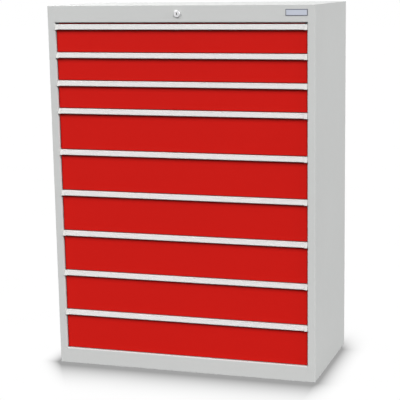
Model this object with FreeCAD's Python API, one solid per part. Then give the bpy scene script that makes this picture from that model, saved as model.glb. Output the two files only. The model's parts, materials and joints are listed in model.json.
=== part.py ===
import FreeCAD, Part
import math
import os

from FreeCAD import Vector

# Steel drawer cabinet: nine drawers on telescopic slides and one central lock.
# Millimetres. +X is to the right, +Y to the back and +Z up. The front faces -Y, and the
# origin is the middle of the footprint, on the floor. Paired pieces are modelled on the
# left, and those on the right are their mirror images.

# Carcass
WIDTH = 980.0
DEPTH = 500.0
HEIGHT = 1320.0
SHEET = 1.5
BEND = 1.5
STILE = 27.5
STILE_RETURN = 12.0
REAR_RETURN = 28.0
HEAD_RAIL_HEIGHT = 59.0
BASE_RAIL_HEIGHT = 57.0
RAIL_DEPTH = 28.0
RAIL_LIP = 12.0
LEDGE = 23.5
TOP_EDGE_RADIUS = 1.2
CORNER_FILL = 3.5

# Floor fixing holes in the base
FLOOR_HOLE_RADIUS = 5.5
FLOOR_HOLE_X = 420.0
FLOOR_HOLE_Y = 200.0

# Swages across the back panel
SWAGE_COUNT = 5
SWAGE_DEPTH = 4.0
SWAGE_HALF_HEIGHT = 12.0

# Drawers, from the top one down: the height that each takes up in the front
DRAWER_PITCHES = [100.0] * 3 + [150.0] * 6
TOP_GAP = 6.0
FRONT_GAP = 2.0
FRONT_RECESS = 8.0
FRONT_SIDE_GAP = 2.0
FRONT_DEPTH = 9.0
FRONT_SHEET = 1.2
FRONT_EDGE_RADIUS = 2.0
UPSTAND = 5.0
UPSTAND_END_GAP = 8.0
BOX_HALF_WIDTH = 448.0
BOX_LENGTH = 429.0
BOX_SHEET = 1.2
BOX_CORNER_RADIUS = 3.0
BOX_BELOW_TOP = 10.0
BOX_ABOVE_BOTTOM = 14.0
HEM_HEIGHT = 8.0

# Handle strip along the top of each drawer, set out from the face of the drawer's front
STRIP_HEIGHT = 19.0
STRIP_SHEET = 1.8
STRIP_BEND = 0.6
STRIP_TOP_PROUD = 4.0
STRIP_LIP_PROUD = 12.0
STRIP_LIP = 4.0
STRIP_WEB_END = 7.5
LABEL_MARGIN = 3.0
LABEL_RECESS = 0.7
CAP_END_GAP = 0.3
CAP_WIDTH = 11.0
CAP_PROUD = 0.3
CAP_EDGE_RADIUS = 0.6

# Telescopic slides: three members, the balls in cages between them
SLIDE_START = 30.0
SLIDE_LENGTH = 420.0
SLIDE_SHEET = 1.5
SLIDE_BEND = 0.8
SLIDE_ABOVE_BOX_BOTTOM = 32.5
OUTER_HALF_HEIGHT = 22.5
OUTER_WEB = 462.5
OUTER_FLANGE = 11.0
MIDDLE_HALF_HEIGHT = 17.0
MIDDLE_WEB = 457.0
INNER_HALF_HEIGHT = 11.5
MEMBER_FLANGE = 6.5
CAGE_WIDTH = 4.0
CAGE_INSET = 0.8
CAGE_CLEARANCE = 0.3

# Slotted posts that carry the slides
POST_FACE = 463.0
POST_WIDTH = 35.0
POST_SETBACKS = (25.0, 425.0)
POST_SLOT_PITCH = 50.0
POST_SLOT_WIDTH = 6.0
POST_SLOT_HEIGHT = 16.0
HOOK_TAB_WIDTH = 5.0
HOOK_TAB_HEIGHT = 14.0

# Central lock: a quarter turn moves the rod and lifts the bar by LOCK_STROKE
LOCK_STROKE = 10.0
LOCK_HEIGHT = 1290.5
LOCK_HEAD_RADIUS = 12.0
LOCK_HEAD_PROUD = 5.0
LOCK_HEAD_EDGE = 1.6
LOCK_BARREL_RADIUS = 9.0
LOCK_BARREL_SETBACK = 14.0
LOCK_HOLE_RADIUS = 9.1
LOCK_NUT_RADIUS = 13.0
LOCK_NUT_THICKNESS = 3.0
PLUG_RADIUS = 6.52
PLUG_BORE_RADIUS = 6.6
PLUG_PROUD = 5.6
KEYHOLE_WIDTH = 2.8
KEYHOLE_HEIGHT = 8.6
KEYHOLE_DEPTH = 14.0
LINK_PLATE = 3.0
LINK_PIN_RADIUS = 2.0
SLOT_PLAY = 0.45
ROD_SETBACK = 18.0
ROD_HEIGHT = 1285.0
ROD_HALF_HEIGHT = 6.0
ROD_END = 6.5
CRANK_X = -451.0
CRANK_ARM = 20.0
CRANK_HUB_RADIUS = 6.0
CRANK_ARM_HALF_WIDTH = 4.0
STUD_RADIUS = 3.0
STUD_PLAY = 0.06
STUD_SHOULDER_RADIUS = 5.5
STUD_CLIP_THICKNESS = 1.0
STUD_PLAY_ALONG = 0.4
BAR_LEFT = -477.0
BAR_RIGHT = -465.0
BAR_BOTTOM = 150.0
BAR_TOP = 1305.5
HOOK_END = -452.0
HOOK_HEIGHT = 5.0
HOOK_BELOW_BOX_TOP = 19.0
CATCH_SETBACK = 24.0
CATCH_SHEET = 1.5
CATCH_REACH = 10.0
CATCH_HEIGHT = 10.5
CATCH_LEG = 26.0
CATCH_BELOW_BOX_TOP = 11.5
GUIDE_PLAY = 0.4
GUIDE_WALL = 2.6
BAR_GUIDE_HEIGHTS = (250.0, 550.0, 1085.0)
BAR_GUIDE_LENGTH = 20.0
ROD_GUIDE_PLACES = (-330.0, -150.0)
ROD_GUIDE_LENGTH = 16.0

# Bare name plate on the head rail
PLATE_CENTRE_X = 425.5
PLATE_CENTRE_Z = 1294.5
PLATE_WIDTH = 77.0
PLATE_HEIGHT = 22.5
PLATE_THICKNESS = 1.2
PLATE_BORDER = 2.4
PLATE_RECESS = 0.5
PLATE_CORNER_RADIUS = 1.0

# Planes that the pieces are set out from
FRONT = -DEPTH / 2
BACK = DEPTH / 2
SIDE = -WIDTH / 2
OPENING = SIDE + STILE
OPENING_TOP = HEIGHT - HEAD_RAIL_HEIGHT
FACE = FRONT + FRONT_RECESS
BOX_FRONT = FACE + FRONT_DEPTH
SLIDE_FRONT = FRONT + SLIDE_START
SLIDE_BACK = SLIDE_FRONT + SLIDE_LENGTH
ROD_FRONT = FRONT + ROD_SETBACK
ROD_BACK = ROD_FRONT + LINK_PLATE

PLANES = {
    "xy": lambda u, v, w: Vector(u, v, w),
    "xz": lambda u, v, w: Vector(u, w, v),
    "yz": lambda u, v, w: Vector(w, u, v),
}


def unit(start, end):
    """Direction from one point of a plane to another."""
    length = math.hypot(end[0] - start[0], end[1] - start[1])
    return (end[0] - start[0]) / length, (end[1] - start[1]) / length


def parallel_path(points, distance):
    """The path moved to its right by distance, with sharp corners."""
    moved = []
    last = len(points) - 1
    for i, (u, v) in enumerate(points):
        before = unit(points[max(i, 1) - 1], points[max(i, 1)])
        after = unit(points[min(i, last - 1)], points[min(i, last - 1) + 1])
        scale = distance / (1 + before[0] * after[0] + before[1] * after[1])
        moved.append((u + (before[1] + after[1]) * scale, v - (before[0] + after[0]) * scale))
    return moved


def rounded_path(points, radii, place):
    """Edges along points, with an arc of its own radius at each inner point."""
    edges = []
    start = points[0]
    for i, radius in enumerate(radii, 1):
        u, v = points[i]
        before = unit(points[i - 1], points[i])
        after = unit(points[i], points[i + 1])
        half_turn = math.acos(before[0] * after[0] + before[1] * after[1]) / 2
        inward = unit(before, after)
        reach = radius * math.tan(half_turn)
        rise = radius / math.cos(half_turn) - radius
        bend_start = (u - before[0] * reach, v - before[1] * reach)
        bend_middle = (u + inward[0] * rise, v + inward[1] * rise)
        bend_end = (u + after[0] * reach, v + after[1] * reach)
        edges.append(Part.LineSegment(place(start), place(bend_start)).toShape())
        edges.append(Part.Arc(place(bend_start), place(bend_middle), place(bend_end)).toShape())
        start = bend_end
    edges.append(Part.LineSegment(place(start), place(points[-1])).toShape())
    return edges


def folded_sheet(points, plane, start, end, thickness=SHEET, bend=BEND):
    """Sheet folded along points of a plane, running from start to end across it.

    The points lie on one face of the sheet, which has its thickness on the right of them.
    """
    def place(point):
        return PLANES[plane](point[0], point[1], start)

    left_radii = []
    right_radii = []
    for i in range(1, len(points) - 1):
        before = unit(points[i - 1], points[i])
        after = unit(points[i], points[i + 1])
        turns_right = before[0] * after[1] < before[1] * after[0]
        left_radii.append(bend + thickness if turns_right else bend)
        right_radii.append(bend if turns_right else bend + thickness)
    far_side = parallel_path(points, thickness)
    edges = rounded_path(points, left_radii, place) + rounded_path(far_side, right_radii, place)
    for i in (0, -1):
        edges.append(Part.LineSegment(place(points[i]), place(far_side[i])).toShape())
    outline = Part.Wire(Part.__sortEdges__(edges))
    return Part.Face(outline).extrude(PLANES[plane](0, 0, end) - PLANES[plane](0, 0, start))


def prism(points, plane, start, end):
    """Straight-sided outline in a plane, running from start to end across it."""
    corners = [PLANES[plane](u, v, start) for u, v in points]
    outline = Part.makePolygon(corners + corners[:1])
    return Part.Face(outline).extrude(PLANES[plane](0, 0, end) - PLANES[plane](0, 0, start))


def block(x_span, y_span, z_span):
    """Block between two values on each axis."""
    spans = [sorted(span) for span in (x_span, y_span, z_span)]
    sizes = [high - low for low, high in spans]
    return Part.makeBox(*sizes, Vector(*[low for low, high in spans]))


def pin(x, z, radius, y_start, y_end):
    """Round pin along Y."""
    return Part.makeCylinder(radius, y_end - y_start, Vector(x, y_start, z), Vector(0, 1, 0))


def joined(first, *others):
    """One solid out of pieces that touch."""
    return first.fuse(list(others)).removeSplitter()


def mirrored(shape):
    """The right-hand twin of a left-hand piece."""
    return shape.mirror(Vector(0, 0, 0), Vector(1, 0, 0))


def rounded_block(x_span, y_span, z_span, open_axis, radius):
    """Block with every edge rounded but those round its high face on open_axis."""
    shape = block(x_span, y_span, z_span)
    open_value = (x_span, y_span, z_span)[open_axis][1]
    edges = []
    for edge in shape.Edges:
        if any(abs(vertex.Point[open_axis] - open_value) > radius for vertex in edge.Vertexes):
            edges.append(edge)
    return shape.makeFillet(radius, edges)


def pan(x_span, y_span, z_span, open_axis, thickness, radius):
    """Five-walled sheet pan that is open on the high side of open_axis."""
    spans = (x_span, y_span, z_span)
    hollow = []
    for axis, (low, high) in enumerate(spans):
        high_step = radius if axis == open_axis else -thickness
        hollow.append((low + thickness, high + high_step))
    outer = rounded_block(*spans, open_axis, radius)
    return outer.cut(rounded_block(*hollow, open_axis, radius - thickness))


def drawer_levels():
    """Number, bottom and top of the space that each drawer takes up in the front."""
    levels = []
    top = OPENING_TOP - TOP_GAP
    for number, pitch in enumerate(DRAWER_PITCHES, 1):
        levels.append((number, top - pitch, top))
        top -= pitch
    return levels


def slide_height(bottom):
    """Middle height of the slides of the drawer whose space starts at bottom."""
    return bottom + BOX_ABOVE_BOTTOM + SLIDE_ABOVE_BOX_BOTTOM


# Carcass


def side_panel():
    """Left side, folded into the front stile and round the back, with welded ledges."""
    panel = folded_sheet(
        [
            (OPENING, FRONT + STILE_RETURN),
            (OPENING, FRONT),
            (SIDE, FRONT),
            (SIDE, BACK),
            (SIDE + REAR_RETURN, BACK),
        ],
        "xy",
        SHEET,
        HEIGHT - SHEET,
    )
    inner = SIDE + SHEET
    additions = []
    for ledge_bottom in (SHEET, HEIGHT - 2 * SHEET):
        additions.append(
            block(
                (inner, inner + LEDGE),
                (FRONT + SHEET, BACK - 2 * SHEET),
                (ledge_bottom, ledge_bottom + SHEET),
            )
        )
    for rail_span in ((SHEET, BASE_RAIL_HEIGHT), (OPENING_TOP, HEIGHT - SHEET)):
        additions.append(
            block((OPENING - CORNER_FILL, OPENING), (FRONT, FRONT + SHEET), rail_span)
        )
    return joined(panel, *additions)


def cover_plate(bottom):
    """Plate over the whole footprint, with its corners rounded like the bent sides."""
    plate = block((SIDE, -SIDE), (FRONT, BACK), (bottom, bottom + SHEET))
    upright_edges = [edge for edge in plate.Edges if abs(edge.tangentAt(0).z) == 1]
    return plate.makeFillet(BEND + SHEET, upright_edges)


def top_panel():
    """Top plate with a soft upper edge."""
    plate = cover_plate(HEIGHT - SHEET)
    rim = [edge for edge in plate.Edges if all(v.Z > HEIGHT - SHEET / 2 for v in edge.Vertexes)]
    return plate.makeFillet(TOP_EDGE_RADIUS, rim)


def base_panel():
    """Bottom plate, which stands on the floor, with four floor fixing holes."""
    plate = cover_plate(0)
    for x in (-FLOOR_HOLE_X, FLOOR_HOLE_X):
        for y in (-FLOOR_HOLE_Y, FLOOR_HOLE_Y):
            plate = plate.cut(Part.makeCylinder(FLOOR_HOLE_RADIUS, SHEET, Vector(x, y, 0)))
    return plate


def back_panel():
    """Back sheet with level swages pressed inwards to stiffen it."""
    outer = BACK - SHEET
    pressed = outer - SWAGE_DEPTH
    path = [(outer, HEIGHT - SHEET)]
    for i in range(SWAGE_COUNT):
        middle = HEIGHT * (SWAGE_COUNT - i) / (SWAGE_COUNT + 1)
        path.append((outer, middle + SWAGE_HALF_HEIGHT))
        path.append((pressed, middle + SWAGE_HALF_HEIGHT - SWAGE_DEPTH))
        path.append((pressed, middle - SWAGE_HALF_HEIGHT + SWAGE_DEPTH))
        path.append((outer, middle - SWAGE_HALF_HEIGHT))
    path.append((outer, SHEET))
    edge = SIDE + SHEET + BEND
    return folded_sheet(path, "yz", edge, -edge)


def head_rail():
    """Rail above the drawers, with the lock's hole in the middle."""
    rail_back = FRONT + RAIL_DEPTH
    rail = folded_sheet(
        [
            (rail_back, OPENING_TOP + RAIL_LIP),
            (rail_back, OPENING_TOP),
            (FRONT, OPENING_TOP),
            (FRONT, HEIGHT - SHEET),
        ],
        "yz",
        OPENING,
        -OPENING,
    )
    ledge = block(
        (OPENING, -OPENING),
        (FRONT + SHEET, FRONT + LEDGE),
        (HEIGHT - 2 * SHEET, HEIGHT - SHEET),
    )
    lock_hole = pin(0, LOCK_HEIGHT, LOCK_HOLE_RADIUS, FRONT, FRONT + SHEET)
    return joined(rail, ledge).cut(lock_hole)


def base_rail():
    """Rail under the drawers, down to the base plate."""
    rail_back = FRONT + RAIL_DEPTH
    rail = folded_sheet(
        [
            (FRONT, SHEET),
            (FRONT, BASE_RAIL_HEIGHT),
            (rail_back, BASE_RAIL_HEIGHT),
            (rail_back, BASE_RAIL_HEIGHT - RAIL_LIP),
        ],
        "yz",
        OPENING,
        -OPENING,
    )
    ledge = block((OPENING, -OPENING), (FRONT + SHEET, FRONT + LEDGE), (SHEET, 2 * SHEET))
    return joined(rail, ledge)


def post(setback):
    """Left-hand channel post with a column of slots in its inner face."""
    near = FRONT + setback
    far = near + POST_WIDTH
    wall = SIDE + SHEET
    channel = folded_sheet(
        [(wall, far), (-POST_FACE, far), (-POST_FACE, near), (wall, near)],
        "xy",
        2 * SHEET,
        HEIGHT - 2 * SHEET,
    )
    middle = (near + far) / 2
    lowest = slide_height(drawer_levels()[-1][1])
    highest = slide_height(drawer_levels()[0][1])
    slots = []
    for i in range(round((highest - lowest) / POST_SLOT_PITCH) + 1):
        height = lowest + i * POST_SLOT_PITCH
        slots.append(
            block(
                (-POST_FACE - SHEET, -POST_FACE),
                (middle - POST_SLOT_WIDTH / 2, middle + POST_SLOT_WIDTH / 2),
                (height - POST_SLOT_HEIGHT / 2, height + POST_SLOT_HEIGHT / 2),
            )
        )
    return channel.cut(Part.makeCompound(slots))


# Slides


def slide_member(web, flange, half_height, height):
    """Left-hand C-shaped slide member, open towards the drawer."""
    return folded_sheet(
        [
            (-web + flange, height - half_height),
            (-web, height - half_height),
            (-web, height + half_height),
            (-web + flange, height + half_height),
        ],
        "xz",
        SLIDE_FRONT,
        SLIDE_BACK,
        SLIDE_SHEET,
        SLIDE_BEND,
    )


def cabinet_rail(height):
    """Outer slide member with a tab that hooks into a slot of each post."""
    rail = slide_member(OUTER_WEB, OUTER_FLANGE, OUTER_HALF_HEIGHT, height)
    tabs = []
    for setback in POST_SETBACKS:
        middle = FRONT + setback + POST_WIDTH / 2
        tabs.append(
            block(
                (-POST_FACE - SHEET, -OUTER_WEB),
                (middle - HOOK_TAB_WIDTH / 2, middle + HOOK_TAB_WIDTH / 2),
                (height - HOOK_TAB_HEIGHT / 2, height + HOOK_TAB_HEIGHT / 2),
            )
        )
    return joined(rail, *tabs)


def ball_cages(height):
    """Cages above and below the left middle member, outside its back and inside its front."""
    half_length = SLIDE_LENGTH / 2
    flange_inside = MIDDLE_HALF_HEIGHT - SLIDE_SHEET
    race_top = OUTER_HALF_HEIGHT - SLIDE_SHEET - CAGE_CLEARANCE
    race_bottom = INNER_HALF_HEIGHT + CAGE_CLEARANCE
    cages = []
    for side in (-1, 1):
        outside_x = -MIDDLE_WEB + CAGE_INSET
        cages.append(
            block(
                (outside_x, outside_x + CAGE_WIDTH),
                (SLIDE_BACK - half_length, SLIDE_BACK),
                (height + side * MIDDLE_HALF_HEIGHT, height + side * race_top),
            )
        )
        inside_x = -MIDDLE_WEB + SLIDE_SHEET + CAGE_INSET
        cages.append(
            block(
                (inside_x, inside_x + CAGE_WIDTH),
                (SLIDE_FRONT, SLIDE_FRONT + half_length),
                (height + side * race_bottom, height + side * flange_inside),
            )
        )
    return cages


def middle_rails(bottom):
    """The two middle slide members of one drawer, each with its ball cages."""
    height = slide_height(bottom)
    member = slide_member(MIDDLE_WEB, MEMBER_FLANGE, MIDDLE_HALF_HEIGHT, height)
    left = [member] + ball_cages(height)
    return left + [mirrored(piece) for piece in left]


def drawer_rail(height):
    """Inner slide member on the left side of a drawer, open towards the cabinet."""
    flange_end = -BOX_HALF_WIDTH - MEMBER_FLANGE
    return folded_sheet(
        [
            (flange_end, height + INNER_HALF_HEIGHT),
            (-BOX_HALF_WIDTH, height + INNER_HALF_HEIGHT),
            (-BOX_HALF_WIDTH, height - INNER_HALF_HEIGHT),
            (flange_end, height - INNER_HALF_HEIGHT),
        ],
        "xz",
        SLIDE_FRONT,
        BOX_FRONT + BOX_LENGTH,
        SLIDE_SHEET,
        SLIDE_BEND,
    )


# Drawers


def drawer_tray(box_bottom, box_top):
    """Open tray with a hem round the top of its sides and back."""
    box_back = BOX_FRONT + BOX_LENGTH
    tray = pan(
        (-BOX_HALF_WIDTH, BOX_HALF_WIDTH),
        (BOX_FRONT, box_back),
        (box_bottom, box_top),
        2,
        BOX_SHEET,
        BOX_CORNER_RADIUS,
    )
    hem_side = BOX_HALF_WIDTH + BOX_SHEET
    hem_span = (box_top - HEM_HEIGHT, box_top)
    hem = block((-hem_side, hem_side), (BOX_FRONT, box_back + BOX_SHEET), hem_span)
    hem_inside = block(
        (BOX_SHEET - BOX_HALF_WIDTH, BOX_HALF_WIDTH - BOX_SHEET),
        (BOX_FRONT, box_back - BOX_SHEET),
        hem_span,
    )
    return joined(tray, hem.cut(hem_inside))


def lock_catch(box_top):
    """Angle on the drawer's left side that the lock bar's hook stands in front of."""
    side = -BOX_HALF_WIDTH - BOX_SHEET
    near = FRONT + CATCH_SETBACK
    bottom = box_top - CATCH_BELOW_BOX_TOP
    return folded_sheet(
        [(side, near + CATCH_LEG), (side, near), (-BOX_HALF_WIDTH - CATCH_REACH, near)],
        "xy",
        bottom,
        bottom + CATCH_HEIGHT,
        CATCH_SHEET,
        SLIDE_BEND,
    )


def drawer_box(bottom, top):
    """Tray of one drawer with its slide members and its lock catch."""
    rail = drawer_rail(slide_height(bottom))
    box_top = top - BOX_BELOW_TOP
    tray = drawer_tray(bottom + BOX_ABOVE_BOTTOM, box_top)
    return [tray, rail, mirrored(rail), lock_catch(box_top)]


def drawer_front(bottom, top, upstand):
    """Front pan of one drawer, with an upstand behind the handle strip if it has one."""
    half_width = -OPENING - FRONT_SIDE_GAP
    lowest = max(bottom, BASE_RAIL_HEIGHT) + FRONT_GAP
    highest = top - STRIP_SHEET
    front = pan(
        (-half_width, half_width),
        (FACE, BOX_FRONT),
        (lowest, highest),
        1,
        FRONT_SHEET,
        FRONT_EDGE_RADIUS,
    )
    if not upstand:
        return front
    reach = half_width - UPSTAND_END_GAP
    flange = block(
        (-reach, reach),
        (BOX_FRONT - FRONT_SHEET, BOX_FRONT),
        (highest - FRONT_SHEET, top + upstand),
    )
    return joined(front, flange)


def strip_profile(top):
    """Lower and upper edge of a handle strip's sloping face, in the YZ plane."""
    lower = (FACE - STRIP_LIP_PROUD, top - STRIP_HEIGHT)
    upper = (FACE - STRIP_TOP_PROUD, top)
    return lower, upper


def strip_extrusion(top):
    """Extruded pull with a shallow label channel in its sloping face."""
    lower, upper = strip_profile(top)
    end = -OPENING - CAP_END_GAP - CAP_WIDTH
    strip = folded_sheet(
        [
            (lower[0] + STRIP_LIP, lower[1]),
            lower,
            upper,
            (FACE + STRIP_WEB_END, top),
        ],
        "yz",
        -end,
        end,
        STRIP_SHEET,
        STRIP_BEND,
    )
    slope = unit(lower, upper)
    face_length = math.hypot(upper[0] - lower[0], upper[1] - lower[1])
    channel = []
    for along, depth in (
        (LABEL_MARGIN, -LABEL_RECESS),
        (face_length - LABEL_MARGIN, -LABEL_RECESS),
        (face_length - LABEL_MARGIN, LABEL_RECESS),
        (LABEL_MARGIN, LABEL_RECESS),
    ):
        channel.append(
            (
                lower[0] + slope[0] * along + slope[1] * depth,
                lower[1] + slope[1] * along - slope[0] * depth,
            )
        )
    return strip.cut(prism(channel, "yz", -end, end))


def strip_cap(top):
    """Moulded cap that closes the left end of a handle strip against the drawer front."""
    lower, upper = strip_profile(top)
    outer_end = OPENING + CAP_END_GAP
    cap = prism(
        [
            (lower[0] - CAP_PROUD, lower[1] - CAP_PROUD),
            (upper[0] - CAP_PROUD, upper[1]),
            (FACE + STRIP_WEB_END, top),
            (FACE + STRIP_WEB_END, top - STRIP_SHEET),
            (FACE, top - STRIP_SHEET),
            (FACE, lower[1] - CAP_PROUD),
        ],
        "yz",
        outer_end,
        outer_end + CAP_WIDTH,
    )
    front_edges = [edge for edge in cap.Edges if edge.BoundBox.YMax < FACE - STRIP_TOP_PROUD]
    return cap.makeFillet(CAP_EDGE_RADIUS, front_edges)


def handle_strip(top):
    """Full-width handle strip with its two end caps."""
    cap = strip_cap(top)
    return [strip_extrusion(top), cap, mirrored(cap)]


# Central lock


def lock_housing():
    """Round lock head in front of the head rail, with its barrel behind."""
    head = pin(0, LOCK_HEIGHT, LOCK_HEAD_RADIUS, FRONT - LOCK_HEAD_PROUD, FRONT)
    rim = [edge for edge in head.Edges if edge.BoundBox.YMax < FRONT - LOCK_HEAD_PROUD / 2]
    head = head.makeFillet(LOCK_HEAD_EDGE, rim)
    barrel_end = FRONT + LOCK_BARREL_SETBACK
    barrel = pin(0, LOCK_HEIGHT, LOCK_BARREL_RADIUS, FRONT, barrel_end)
    bore = pin(0, LOCK_HEIGHT, PLUG_BORE_RADIUS, FRONT - LOCK_HEAD_PROUD, barrel_end)
    return joined(head, barrel).cut(bore)


def lock_nut():
    """Six-sided nut that holds the lock housing to the head rail."""
    corners = []
    for i in range(6):
        angle = math.radians(60 * i)
        corners.append(
            (
                LOCK_NUT_RADIUS * math.cos(angle),
                LOCK_HEIGHT + LOCK_NUT_RADIUS * math.sin(angle),
            )
        )
    near = FRONT + SHEET
    far = near + LOCK_NUT_THICKNESS
    return prism(corners, "xz", near, far).cut(pin(0, LOCK_HEIGHT, LOCK_BARREL_RADIUS, near, far))


def lock_cylinder():
    """Plug that the key turns, with its upright keyhole."""
    near = FRONT - PLUG_PROUD
    plug = pin(0, LOCK_HEIGHT, PLUG_RADIUS, near, ROD_FRONT - LINK_PLATE - SLOT_PLAY)
    keyhole = block(
        (-KEYHOLE_WIDTH / 2, KEYHOLE_WIDTH / 2),
        (near, near + KEYHOLE_DEPTH),
        (LOCK_HEIGHT - KEYHOLE_HEIGHT / 2, LOCK_HEIGHT + KEYHOLE_HEIGHT / 2),
    )
    return plug.cut(keyhole)


def link_arm(start, end, half_width, y_start):
    """Flat arm between two points, round at its ends."""
    along = unit(start, end)
    side = (along[1] * half_width, -along[0] * half_width)
    corners = [
        (start[0] + side[0], start[1] + side[1]),
        (end[0] + side[0], end[1] + side[1]),
        (end[0] - side[0], end[1] - side[1]),
        (start[0] - side[0], start[1] - side[1]),
    ]
    y_end = y_start + LINK_PLATE
    web = prism(corners, "xz", y_start, y_end)
    tip = pin(*end, half_width, y_start, y_end)
    return web.fuse(tip)


def lock_cam():
    """Cam on the plug's end, whose pin drives the rod."""
    near = ROD_FRONT - LINK_PLATE - SLOT_PLAY
    reach = LOCK_STROKE / 2
    end = (reach, LOCK_HEIGHT - reach)
    hub = pin(0, LOCK_HEIGHT, CRANK_HUB_RADIUS, near, near + LINK_PLATE)
    arm = link_arm((0, LOCK_HEIGHT), end, CRANK_ARM_HALF_WIDTH, near)
    drive_pin = pin(*end, LINK_PIN_RADIUS, near + LINK_PLATE, ROD_BACK)
    return joined(hub, arm, drive_pin)


def crank_drop():
    """Height of the crank's two pins below or beside its pivot, at either end of its turn."""
    return math.sqrt(CRANK_ARM ** 2 - (LOCK_STROKE / 2) ** 2)


def crank_height():
    """Height of the crank's pivot: its lower arm's pin runs level with the rod."""
    return ROD_HEIGHT + CRANK_ARM


def lock_rod():
    """Flat rod from the cam to the crank, slotted for the pin of each."""
    cam_x = LOCK_STROKE / 2
    crank_x = CRANK_X + LOCK_STROKE / 2
    rod = block(
        (crank_x - ROD_END, cam_x + ROD_END),
        (ROD_FRONT, ROD_BACK),
        (ROD_HEIGHT - ROD_HALF_HEIGHT, ROD_HEIGHT + ROD_HALF_HEIGHT),
    )
    play = LINK_PIN_RADIUS + SLOT_PLAY
    cam_reach = LOCK_STROKE / 2
    cam_span = (LOCK_HEIGHT - cam_reach * math.sqrt(2), LOCK_HEIGHT - cam_reach)
    crank_span = (crank_height() - CRANK_ARM, crank_height() - crank_drop())
    for x, (low, high) in ((cam_x, cam_span), (crank_x, crank_span)):
        slot = block((x - play, x + play), (ROD_FRONT, ROD_BACK), (low - play, high + play))
        rod = rod.cut(slot)
    return rod


def lock_crank():
    """Bell crank that turns the rod's level travel into the bar's lift."""
    near = ROD_BACK + SLOT_PLAY
    pivot = (CRANK_X, crank_height())
    rod_end = (CRANK_X + LOCK_STROKE / 2, pivot[1] - crank_drop())
    bar_end = (CRANK_X - crank_drop(), pivot[1] - LOCK_STROKE / 2)
    hub = pin(*pivot, CRANK_HUB_RADIUS, near, near + LINK_PLATE)
    pieces = []
    for end in (rod_end, bar_end):
        pieces.append(link_arm(pivot, end, CRANK_ARM_HALF_WIDTH, near))
        pieces.append(pin(*end, LINK_PIN_RADIUS, ROD_FRONT, near))
    bore = pin(*pivot, STUD_RADIUS + STUD_PLAY, near, near + LINK_PLATE)
    return joined(hub, *pieces).cut(bore)


def crank_stud():
    """Shouldered stud behind the head rail that the crank turns on, with its clip."""
    near = FRONT + SHEET
    shoulder_end = ROD_BACK + SLOT_PLAY - STUD_PLAY_ALONG
    clip_start = ROD_BACK + SLOT_PLAY + LINK_PLATE + STUD_PLAY_ALONG
    clip_end = clip_start + STUD_CLIP_THICKNESS
    shoulder = pin(CRANK_X, crank_height(), STUD_SHOULDER_RADIUS, near, shoulder_end)
    stud = pin(CRANK_X, crank_height(), STUD_RADIUS, shoulder_end, clip_end)
    clip = pin(CRANK_X, crank_height(), STUD_SHOULDER_RADIUS, clip_start, clip_end)
    return joined(shoulder, stud, clip)


def lock_bar():
    """Upright flat bar behind the left stile, slotted for the crank's pin."""
    bar = block((BAR_LEFT, BAR_RIGHT), (ROD_FRONT, ROD_BACK), (BAR_BOTTOM, BAR_TOP))
    play = LINK_PIN_RADIUS + SLOT_PLAY
    pin_height = crank_height() - LOCK_STROKE / 2
    slot = block(
        (CRANK_X - CRANK_ARM - play, CRANK_X - crank_drop() + play),
        (ROD_FRONT, ROD_BACK),
        (pin_height - play, pin_height + play),
    )
    return bar.cut(slot)


def lock_hooks():
    """Hooks welded to the bar's edge, one under each drawer's catch."""
    hooks = []
    for _, _, top in drawer_levels():
        low = top - BOX_BELOW_TOP - HOOK_BELOW_BOX_TOP
        hooks.append(block((BAR_RIGHT, HOOK_END), (ROD_FRONT, ROD_BACK), (low, low + HOOK_HEIGHT)))
    return hooks


def bar_guides():
    """Plastic guides for the lock bar, on the left front post."""
    post_front = FRONT + POST_SETBACKS[0]
    x_slot = (BAR_LEFT - GUIDE_PLAY, BAR_RIGHT + GUIDE_PLAY)
    y_slot = (ROD_FRONT - GUIDE_PLAY, ROD_BACK + GUIDE_PLAY)
    guides = []
    for height in BAR_GUIDE_HEIGHTS:
        z_span = (height, height + BAR_GUIDE_LENGTH)
        body = block(
            (x_slot[0] - GUIDE_WALL, -POST_FACE),
            (y_slot[0] - GUIDE_WALL, post_front),
            z_span,
        )
        guides.append(body.cut(block(x_slot, y_slot, z_span)))
    return guides


def rod_guides():
    """Plastic guides for the lock rod, standing on the head rail's lower fold."""
    y_slot = (ROD_FRONT - GUIDE_PLAY, ROD_BACK + GUIDE_PLAY)
    low = ROD_HEIGHT - ROD_HALF_HEIGHT - GUIDE_PLAY
    high = ROD_HEIGHT + ROD_HALF_HEIGHT + GUIDE_PLAY
    guides = []
    for x in ROD_GUIDE_PLACES:
        x_span = (x, x + ROD_GUIDE_LENGTH)
        body = block(
            x_span,
            (y_slot[0] - GUIDE_WALL, y_slot[1] + GUIDE_WALL),
            (OPENING_TOP + SHEET, high + GUIDE_WALL),
        )
        guides.append(body.cut(block(x_span, y_slot, (low, high))))
    return guides


def name_plate():
    """Bare plate with a raised border, at the right end of the head rail."""
    left = PLATE_CENTRE_X - PLATE_WIDTH / 2
    bottom = PLATE_CENTRE_Z - PLATE_HEIGHT / 2
    plate = block(
        (left, left + PLATE_WIDTH),
        (FRONT - PLATE_THICKNESS, FRONT),
        (bottom, bottom + PLATE_HEIGHT),
    )
    corners = [edge for edge in plate.Edges if abs(edge.tangentAt(0).y) == 1]
    plate = plate.makeFillet(PLATE_CORNER_RADIUS, corners)
    recess = block(
        (left + PLATE_BORDER, left + PLATE_WIDTH - PLATE_BORDER),
        (FRONT - PLATE_THICKNESS, FRONT - PLATE_THICKNESS + PLATE_RECESS),
        (bottom + PLATE_BORDER, bottom + PLATE_HEIGHT - PLATE_BORDER),
    )
    return plate.cut(recess)


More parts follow.
